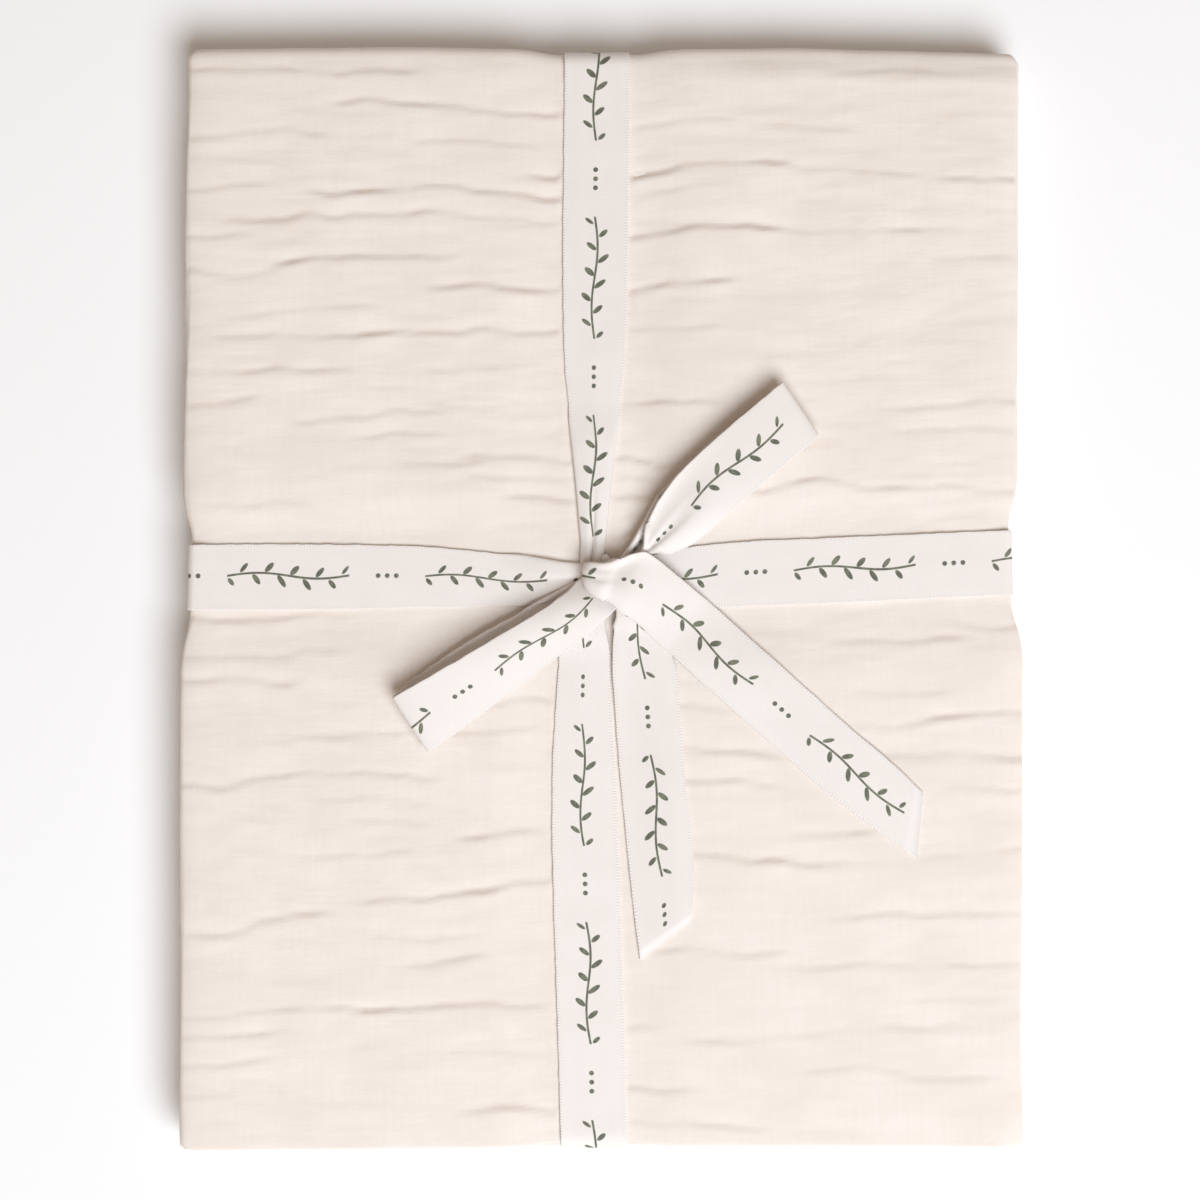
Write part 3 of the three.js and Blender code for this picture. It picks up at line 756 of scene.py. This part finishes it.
def tape_section(half, crown, crease, lip):
    """Across, up and place on the flat tape for each column.

    Gathered tape has its edges rolled under, less so where it bends up in its middle. A lip lifts
    its left edge, or its right one if negative.
    """
    gather = float(ease((gather_from - half - crown) / (gather_from - gather_full)))
    turn_in = half - roll_radius * gather
    straight_length = tape_half - (tape_half - turn_in) * gather
    roll = math.pi * roll_radius
    end = min(tape_half, straight_length + roll + max(turn_in - 0.8, 0))
    inner_end = min(straight_length, 9.2)
    rolled_end = min(inner_end + roll, end - 0.05)
    inner = np.linspace(0, inner_end, 6)
    rolled = inner_end + (rolled_end - inner_end) * np.array([0.25, 0.5, 0.75, 1])
    flat = np.concatenate([inner, rolled, [end]])
    straight = np.minimum(flat, straight_length)
    past = flat - straight
    angle = np.minimum(past / roll_radius, math.pi)
    back = np.maximum(past - roll, 0)
    across = straight * turn_in / straight_length + roll_radius * np.sin(angle) - back
    level = straight / straight_length
    swell = crown * (1 - level**2)
    lean = min(max(lip, -0.9), 0.9) * level
    raised = lip * level**4
    middle_crease = crease * np.exp(-((straight / crease_width) ** 2))
    low = 2 * roll_radius * gather - roll_radius * (1 - np.cos(angle)) - middle_crease
    left = np.stack([-across, low + swell * (1 - lean) + np.maximum(raised, 0), -flat])[:, :0:-1]
    return np.hstack([left, np.stack([across, low + swell * (1 + lean) - np.minimum(raised, 0), flat])])


tape_points, tape_uvs, tape_faces = [], [], []


def add_tape(grid, flat_across, starts_at):
    """Adds one stretch of tape as a thin closed body round its middle surface."""
    towards_right = np.gradient(grid, axis=1)
    onwards = np.gradient(grid, axis=0)
    out = np.cross(towards_right, onwards)
    out /= np.linalg.norm(out, axis=2, keepdims=True)
    rows, across_count = grid.shape[:2]
    steps = np.linalg.norm(np.diff(grid[:, across_count // 2], axis=0), axis=1)
    along = np.concatenate([[0], np.cumsum(steps)])
    place = along[:, None] + starts_at * 10
    sway = 0.22 * soft_noise(place / 24, 0.5, seed=20)
    uneven = soft_noise(place / 1.7, np.sign(flat_across) + 3, seed=21)
    edge = 0.12 * uneven * (np.abs(flat_across) / tape_half) ** 6
    beside = towards_right / np.linalg.norm(towards_right, axis=2, keepdims=True)
    grid = grid + beside * (sway + edge * np.sign(flat_across))[:, :, None]
    grid = grid + out * (0.09 * soft_noise(place / 8, flat_across / 14 + 9, seed=22))[:, :, None]

    # Full thickness in the middle, less towards the woven edges and the cut ends
    share = np.ones((rows, across_count))
    share[:, [1, -2]] = 0.8
    share[:, [0, -1]] = 0.35
    share[[0, -1]] *= 0.5
    thickness = out * (share * tape_thickness / 2)[:, :, None]
    front = np.arange(rows * across_count).reshape(rows, across_count) + len(tape_points)
    back = front + rows * across_count
    for side in (1, -1):
        tape_points.extend((grid + side * thickness).reshape(-1, 3))
        places = np.stack(np.broadcast_arrays(along[:, None] + starts_at, flat_across), axis=-1)
        tape_uvs.extend(places.reshape(-1, 2))

    def quads(a, b, c, d):
        tape_faces.extend(np.stack([a, b, c, d], axis=-1).reshape(-1, 4).tolist())

    quads(front[:-1, :-1], front[:-1, 1:], front[1:, 1:], front[1:, :-1])
    quads(back[:-1, :-1], back[1:, :-1], back[1:, 1:], back[:-1, 1:])
    quads(front[:-1, 0], front[1:, 0], back[1:, 0], back[:-1, 0])
    quads(front[1:, -1], front[:-1, -1], back[:-1, -1], back[1:, -1])
    quads(back[0, :-1], back[0, 1:], front[0, 1:], front[0, :-1])
    quads(front[-1, :-1], front[-1, 1:], back[-1, 1:], back[-1, :-1])
    return along[-1]


# Half widths along the two rounds, which are gathered towards the knot, with the swelling of the
# tape there, the crease in its middle, and how far it lies aside of its line
lengthwise_gather = columns("u half crown crease aside", smooth_curve([
    (-168, 10, 0, 0, 0),
    (-130, 10.1, 0, 0, -0.1),
    (-95, 10.1, 0, 0, -0.3),
    (-60, 9.7, 0, 0, -0.6),
    (-45, 8.8, 0.1, 0, -0.9),
    (-24, 7.7, 0.3, 0, -0.9),
    (-13, 6.0, 0.5, 0, -0.8),
    (-5, 4.6, 0.6, 0.3, -0.3),
    (3, 3.1, 1.0, 2.0, 0),
    (7, 3.3, 1.0, 2.5, 0),
    (12, 3.6, 0.8, 2.2, 0),
    (18, 4.2, 0.6, 1.2, 0),
    (30, 5.2, 0.5, 0.3, 0),
    (43, 6.6, 0.4, 0, 0),
    (56, 7.8, 0.3, 0, 0),
    (72, 9.3, 0.1, 0, 0),
    (105, 10, 0, 0, 0),
    (168, 10, 0, 0, 0),
], 4))
crosswise_gather = columns("u half crown crease aside", smooth_curve([
    (-128, 10, 0, 0, 0),
    (-90, 10, 0, 0, 0),
    (-52, 9.3, 0.1, 0, 0),
    (-20, 7.2, 0.3, 0.2, 0),
    (-6, 5.5, 0.4, 0.6, 0),
    (3, 5, 0.5, 0.6, 0),
    (15, 6, 0.4, 0.2, 0),
    (28, 9, 0.1, 0, 0),
    (50, 10, 0, 0, 0),
    (128, 10, 0, 0, 0),
], 4))


def round_path(knot_place, half_span, inset, lowering):
    """Places along one round: over the top, down a side, underneath, up again and back to the knot."""
    corner = half_span - inset
    radius = inset + tape_lift
    step_angles = np.linspace(0, math.pi / 2, 7)
    climb = [(3, 1.6), (4.5, 1.9), (6, 1.7), (8, 1.1), (10, 0.4), (12, 0)]
    past_climb, top_step, low_step = 14, 1.5, 2.5
    top, high_centre = stack_height + tape_lift, stack_height - inset
    path = [(knot_place + away, top + rise) for away, rise in climb]
    right_places = np.arange(knot_place + past_climb, corner - 1, top_step)
    left_places = np.arange(knot_place - past_climb, -corner + 1, -top_step)
    low_places = np.linspace(corner - 2, -corner + 2, round(corner / low_step))
    path += [(u, top) for u in right_places]
    path += [(corner + radius * math.sin(a), top - radius * (1 - math.cos(a))) for a in step_angles]
    below = [(u, -lift_below - lowering * float(hold(u))) for u in low_places]
    low_turn = [(corner + radius * math.cos(a), inset - radius * math.sin(a)) for a in step_angles]
    path += low_turn + below
    path += [(-u, z) for u, z in low_turn[::-1]]
    path += [(-corner - radius * math.cos(a), high_centre + radius * math.sin(a)) for a in step_angles]
    path += [(u, top) for u in left_places[::-1]]
    path += [(knot_place - away, top + rise) for away, rise in climb[::-1]]
    return path


def add_round(path, gather, lengthwise, starts_at):
    """One round of tape. Its print starts at the given place of the flat tape."""
    grid, flat_across = [], []
    for u, z in path:
        half, crown_here, crease_here, aside = tape_half, 0, 0, 0
        if z > 0:
            half, crown_here, crease_here, aside = (
                np.interp(u, gather["u"], gather[name]) for name in ("half", "crown", "crease", "aside")
            )
        across, up, flat = tape_section(half, crown_here, crease_here, 0)
        across = across + aside
        if lengthwise:
            grid.append(settle(across, u, z + up))
        else:
            grid.append(settle(u, -across, z + up))
        flat_across.append(flat)
    return add_tape(np.array(grid), np.array(flat_across), starts_at)


lengthwise_path = round_path(knot_place=0, half_span=half_length, inset=3.6, lowering=0)
tape_length = add_round(lengthwise_path, lengthwise_gather, lengthwise=True, starts_at=52.5)
crosswise_path = round_path(7, half_width, inset=1.5, lowering=crossing_depth_below)
tape_length += add_round(crosswise_path, crosswise_gather, lengthwise=False, starts_at=10.2)


def cloth_top(real_x, real_y):
    """The height of the cloth's top at real places, found by walking back to the straight stack."""
    x, y = real_x.copy(), real_y.copy()
    for _ in range(8):
        here = settle(x, y, stack_height)
        x += real_x - here[:, 0]
        y += real_y - here[:, 1]
    return top_height(x, y)


def add_bow_part(rows, draped, starts_at):
    """A loop or a tail from a table of its left and right edges, its heights and its swelling."""
    table = smooth_curve(rows, 7)
    left, right = table[:, 0:3], table[:, 3:6]
    middle = (left + right) / 2
    towards_right = right - left
    half = np.linalg.norm(towards_right, axis=1) / 2
    towards_right /= 2 * half[:, None]
    out = np.cross(towards_right, np.gradient(middle, axis=0))
    out /= np.linalg.norm(out, axis=1, keepdims=True)
    grid, flat_across = [], []
    for row in range(len(table)):
        across, up, flat = tape_section(min(half[row], tape_half), *table[row, 6:9])
        line = middle[row] + towards_right[row] * across[:, None] + out[row] * up[:, None]
        if draped:
            line[:, 2] += cloth_top(line[:, 0], line[:, 1]) + tape_lift
        grid.append(line)
        flat_across.append(flat)
    return add_tape(np.array(grid), np.array(flat_across), starts_at)


# Each row: the left edge x y z, the right edge x y z, then crown, crease and lip. The loops come
# out of the knot on top, turn over at their ends and go back underneath.
far_loop = [
    (8.5, 11.0, 22.7, 11.5, 9.0, 22.7, 0.2, 0.6, 0),
    (12.9, 16.0, 24.4, 15.6, 14.2, 23.9, 1.0, 1.4, 0.6),
    (14.0, 23.0, 25.6, 21.5, 14.3, 24.6, 1.8, 1.8, 1.4),
    (18.6, 31.8, 26.2, 29.0, 17.6, 25.2, 1.8, 0.9, 1.5),
    (25.8, 40.6, 27.0, 37.0, 24.2, 26.2, 1.1, 0, 0.8),
    (35.1, 49.4, 27.6, 46.4, 32.4, 27.0, 0.5, 0, 0.2),
    (44.6, 57.4, 27.9, 55.6, 40.6, 27.2, 0.3, 0, 0),
    (53.8, 65.0, 27.5, 64.6, 48.2, 26.6, 0.1, 0, 0),
    (55.3, 66.4, 26.3, 66.4, 50.4, 25.2, 0, 0, 0),
    (53.9, 65.0, 24.4, 64.8, 48.6, 23.9, 0, 0, 0),
    (44.5, 57.2, 23.6, 55.0, 40.0, 23.7, 0.2, 0, 0),
    (34.5, 49.8, 23.1, 45.6, 32.2, 23.5, 0.3, 0, 0),
    (25.4, 40.4, 23.1, 36.4, 24.4, 23.2, 0.5, 0, 0),
    (18.2, 32.5, 24.2, 26.6, 21.0, 22.4, 0.9, 0, 0),
    (13.4, 23.6, 24.5, 17.4, 19.0, 21.0, 0.4, 0, 0),
    (9.5, 16.3, 24.4, 11.7, 14.6, 20.7, 0.2, 0, 0),
    (6.0, 11.6, 23.8, 8.2, 10.2, 20.6, 0, 0, 0),
]
near_loop = [
    (5.0, -0.2, 20.9, -3.4, 6.8, 20.8, 0.2, 0, 0),
    (4.7, -2.4, 23.4, -7.2, 5.4, 22.6, 0.7, 0, 0),
    (0.6, -5.8, 25.0, -10.2, 2.0, 24.8, 1.0, 0, 0),
    (-6.0, -11.8, 25.6, -15.8, -1.9, 27.0, 1, 0, 0.2),
    (-12.6, -17.0, 26.0, -23.6, -6.6, 28.7, 0.9, 0, 0.3),
    (-25.0, -26.4, 26.2, -37.2, -14.6, 29.6, 0.6, 0, 0.2),
    (-39.0, -36.8, 26.4, -50.6, -22.4, 29.5, 0.3, 0, 0),
    (-50.9, -45.4, 26.1, -61.8, -28.9, 28.4, 0.1, 0, 0),
    (-52.7, -46.8, 24.8, -63.5, -29.9, 26.6, 0, 0, 0),
    (-51.0, -45.2, 23.5, -62.2, -28.1, 24.6, 0, 0, 0),
    (-38.0, -34.6, 23.0, -48.4, -18.0, 23.5, 0.1, 0, 0),
    (-25.0, -23.8, 22.8, -34.8, -9.4, 23.3, 0.1, 0, 0),
    (-11.8, -13.8, 22.4, -20.4, -1.6, 22.8, 0.1, 0, 0),
    (-3.0, -6.8, 22.2, -9.2, 4.6, 22.1, 0.1, 0.2, 0),
    (4.0, -1.0, 21.8, -2.2, 7.4, 21.4, 0.1, 0.3, 0),
]
# The tails lie on the cloth from the knot down, so their heights are counted from the cloth.
under_tail = [
    (13.0, 2.0, 3.7, 3.4, 1.6, 3.3, 0.4, 0, 0),
    (16.6, -5.6, 2.8, 4.9, -4.0, 2.8, 0.4, 0, 0),
    (20.4, -14.0, 1.5, 3.5, -12.5, 1.5, 0.3, 0, 0.2),
    (23.9, -25.4, 0.6, 3.5, -27.0, 0.5, 0.1, 0, 0.1),
    (25.0, -40.0, 0.1, 4.7, -41.5, 0.1, 0.1, 0, 0),
    (26.2, -56.0, 0.1, 6.0, -56.4, 0.1, 0.1, 0, 0),
    (28.6, -80.0, 0.1, 8.4, -84.5, 0.1, 0.1, 0, 0),
    (29.8, -97.4, 0.2, 10.2, -112.6, 0.3, 0, 0, 0),
]
over_tail = [
    (-3.2, 8.6, 1.8, -2.9, 5.6, 1.8, 0, 0, 0),
    (-4.6, 10.4, 4.4, -4.4, 5.4, 4.3, 0.4, 0.4, 0),
    (-3.2, 11.2, 6.8, -4.0, 3.2, 6.4, 0.8, 0.7, 0.1),
    (1.2, 11.0, 7.2, -1.4, 1.0, 7.3, 1.1, 0.6, 0.9),
    (7.6, 12.9, 5.6, 2.4, -0.8, 7.4, 1.3, 0.2, 2.7),
    (14.2, 14.4, 6.2, 6.4, -4.4, 7.0, 1, 0, 1.1),
    (20.3, 11.2, 5.2, 11.4, -9.4, 5.5, 0.7, 0, 0),
    (28.2, 4.2, 3.0, 17.4, -14.4, 3.3, 0.4, 0, 0),
    (36.9, -2.9, 1.2, 24.0, -19.9, 2.0, 0.3, 0, 0),
    (60.9, -25.2, 0.4, 47.2, -39.9, 0.2, 0.2, 0, 0),
    (80.4, -42.4, 0.3, 66.2, -57.0, 0.1, 0.1, 0, 0),
    (99.1, -58.7, 0.5, 97.1, -80.3, 0.3, 0, 0, 0),
]
tape_length += add_bow_part(far_loop, draped=False, starts_at=37)
tape_length += add_bow_part(near_loop, draped=False, starts_at=57)
tape_length += add_bow_part(under_tail, draped=True, starts_at=12.6)
tape_length += add_bow_part(over_tail, draped=True, starts_at=30)


def add_lump(x, y, z, half_x, half_y, half_z):
    """A rounded lump of tape drawn tight inside the knot, with none of the print on it."""
    start = len(tape_points)
    around, down = 20, 12
    unprinted = 8.5
    for ring in range(1, down):
        slope = math.pi * ring / down
        for step in range(around):
            angle = 2 * math.pi * step / around
            uneven = 1 + 0.05 * math.sin(3 * angle + 2 * slope)
            across = math.sin(slope) * uneven
            place = (x + half_x * across * math.cos(angle), y + half_y * across * math.sin(angle))
            tape_points.append(np.array([*place, z + half_z * math.cos(slope)]))
            tape_uvs.append((5 * angle, unprinted))
    for ring in range(down - 2):
        for step in range(around):
            here, after = start + ring * around, (step + 1) % around
            tape_faces.append((here + step, here + around + step, here + around + after, here + after))
    tape_faces.append(tuple(range(start + around - 1, start - 1, -1))[::-1])
    last = start + (down - 2) * around
    tape_faces.append(tuple(range(last + around - 1, last - 1, -1)))


add_lump(4.2, 5.8, 22.9, 7.6, 6.6, 3.6)
add_lump(1.4, 12.2, 22.1, 1.4, 1.7, 2.3)
add_lump(-4.6, 11.8, 21.2, 1.1, 1.3, 1.8)

cotton_tape = make_mesh("cotton_tape", tape_points, tape_faces, tape_uvs, "tape")


def printed_tape():
    """Off-white twill with a woven edge, and a little leafy sprig and three dots again and again."""
    tape = Finish("cotton_tape")
    along, across = tape.flat_place("tape")
    repeat = 61
    sprig_half = 19
    leaf_step, leaf_length, leaf_width, leaf_out = 3.9, 2.05, 0.85, 1.9
    lean_along, lean_out = 0.62, 0.78
    dot_step, dot_radius, dots_half = 2.8, 0.85, 4.2
    twill_pitch, rib_pitch, rib_width = 0.85, 0.9, 1
    place = along.sum("FLOORED_MODULO", along, repeat) - sprig_half - 2
    stem_line = across - (place * 0.17).wave() * 0.9
    within = (sprig_half - abs(place)).cut(0, 0.4)
    stem = (0.42 - abs(stem_line)).cut(0, 0.16)
    leaf_number = tape.node("Math", {"operation": "FLOOR"}, {0: place / leaf_step})
    side = leaf_number.sum("FLOORED_MODULO", leaf_number, 2) * 2 - 1
    beside = place - leaf_number * leaf_step - leaf_step / 2
    outward = stem_line * side - leaf_out
    leaf_long = (beside * lean_along + outward * lean_out) / leaf_length
    leaf_wide = (outward * lean_along - beside * lean_out) / leaf_width
    leaf_middle = place - beside
    whole = (sprig_half - 1 - abs(leaf_middle)).cut(0, 0.1)
    size = 1.1 - (leaf_middle / sprig_half) ** 2 * 0.5
    leaf = (size - leaf_long**2 - leaf_wide**2).cut(0, 0.35) * whole
    sprig = stem.sum("MAXIMUM", stem, leaf) * within
    from_dots = abs(place - (repeat / 2))
    past_dot = from_dots.sum("FLOORED_MODULO", from_dots + dot_step / 2, dot_step)
    from_dot = ((past_dot - dot_step / 2) ** 2 + across**2) ** 0.5
    dot = (dot_radius - from_dot).cut(0, 0.2) * (dots_half - from_dots).cut(0, 0.05)
    clouds = tape.noise(along / 14, across / 5)
    speckle = tape.noise(along / 0.7, across / 0.7)
    base = tape.blend(clouds, (0.85, 0.795, 0.76, 1), (0.89, 0.842, 0.81, 1))
    cotton = tape.blend(speckle.cut(0.3, 0.7) * 0.2, base, (0.78, 0.73, 0.69, 1))
    thin_ink = tape.noise(along / 2.4, across / 1.8).cut(0.4, 0.65)
    ink = tape.blend(thin_ink, (0.055, 0.066, 0.032, 1), (0.13, 0.15, 0.083, 1))
    printed = (sprig.sum("MAXIMUM", sprig, dot)) * 0.92
    colour = tape.blend(printed, cotton, ink)
    twill = ((along + across) * (2 * math.pi / twill_pitch)).wave()
    ribs = (along * (2 * math.pi / rib_pitch)).wave()
    edge_ribs = ribs * (abs(across) - (tape_half - rib_width)).cut(0, 0.3)
    height = twill * 0.1 + edge_ribs * 0.4 + speckle * 0.3
    bump = tape.node("Bump", {}, {"Strength": 0.4, "Distance": 0.0003, "Height": height})
    tape.finish({"Base Color": colour, "Roughness": 0.58 + clouds * 0.08, "Normal": bump})
    tape.finish({"Specular IOR Level": 0.4, "Sheen Weight": 0.05})
    return tape.material


cotton_tape.data.materials.append(printed_tape())
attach(cotton_tape, "root")
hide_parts("tape_tie")

# The floor, the lights and the camera
# The stack lies on a pale sheet of paper that shows no joint. One wide, soft light stands near it,
# over its near right corner, and a long lens looks straight down. Sizes are in metres here.

half_paper = 4
paper_corners = [(half_paper * x, half_paper * y, 0) for x, y in [(-1, -1), (1, -1), (1, 1), (-1, 1)]]
floor_mesh = bpy.data.meshes.new("floor")
floor_mesh.from_pydata(paper_corners, [], [(0, 1, 2, 3)])
floor = bpy.data.objects.new("floor", floor_mesh)
bpy.context.scene.collection.objects.link(floor)
paper = Finish("paper")
paper.finish({"Base Color": (0.96, 0.96, 0.96, 1), "Roughness": 0.95, "Specular IOR Level": 0.1})
floor_mesh.materials.append(paper.material)


lamp = bpy.data.lights.new("soft_light", "AREA")
lamp.shape = "DISK"
lamp.size = 1.89
lamp.energy = 72.5
lamp.color = (0.882, 0.939, 1)
lamp_object = bpy.data.objects.new("soft_light", lamp)
lamp_object.location = (0.766, -1.277, 2.13)
away_from_stack = lamp_object.location.normalized()
lamp_object.rotation_euler = away_from_stack.to_track_quat("Z", "Y").to_euler()
bpy.context.scene.collection.objects.link(lamp_object)

# The rest of the room gives a weak, warm light from all sides
world = bpy.data.worlds.new("studio")
bpy.context.scene.world = world
world.use_nodes = True
room = world.node_tree.nodes["Background"]
room.inputs["Color"].default_value = (1, 0.82, 0.67, 1)
room.inputs["Strength"].default_value = 0.315
bpy.context.scene.view_settings.view_transform = "Standard"

seen_width = 0.3692
lens = 100
sensor = 36
aim_x, aim_y = -0.0003, -0.00015
camera_data = bpy.data.cameras.new("camera")
camera_data.lens = lens
camera_data.sensor_width = sensor
camera = bpy.data.objects.new("camera", camera_data)
camera.location = (aim_x, aim_y, stack_height * mm + seen_width * lens / sensor)
bpy.context.scene.collection.objects.link(camera)
bpy.context.scene.camera = camera

bpy.context.view_layer.update()
